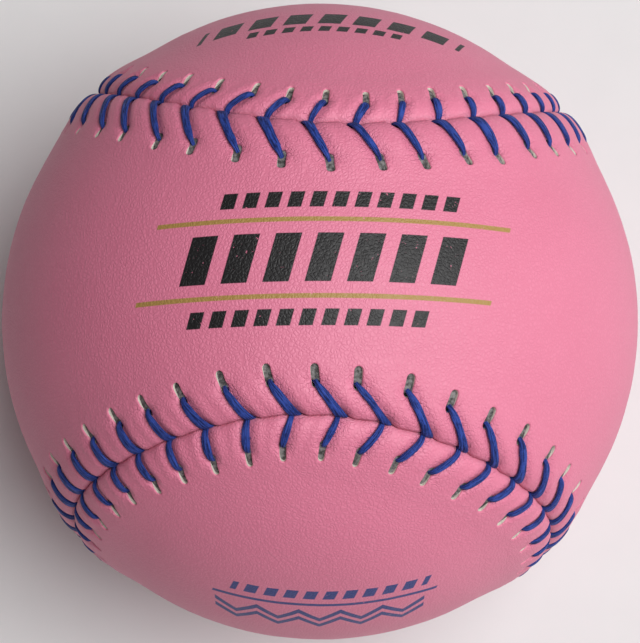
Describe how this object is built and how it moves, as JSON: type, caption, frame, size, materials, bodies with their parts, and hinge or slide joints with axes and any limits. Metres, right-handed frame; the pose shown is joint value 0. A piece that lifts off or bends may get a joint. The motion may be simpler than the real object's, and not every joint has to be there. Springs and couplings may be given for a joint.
{
  "type": "slow-pitch softball",
  "caption": "Round ball with a figure-eight seam: interlocking cover panels laced together over a moulded core with a flat strand in slanting stitches.",
  "frame": {"origin": "centre of the ball", "axes": "+Z through the middle of panel A's narrow neck, with panel B's neck at -Z; +X towards one of panel A's wide lobes and +Y towards one of panel B's"},
  "size_m": [0.0969, 0.0968, 0.0964],
  "materials": {
    "core": "moulded, matt",
    "panel_base": "raw grey backing",
    "panel_face": "fine leather grain, soft sheen",
    "thread": "waxed strand"
  },
  "bodies": {
    "root": {"core": "core", "panel_base_a": "panel_base", "panel_base_b": "panel_base", "panel_face_a": "panel_face", "panel_face_b": "panel_face", "stitch_thread_1": "thread", "stitch_thread_2": "thread"}
  },
  "joints": []
}
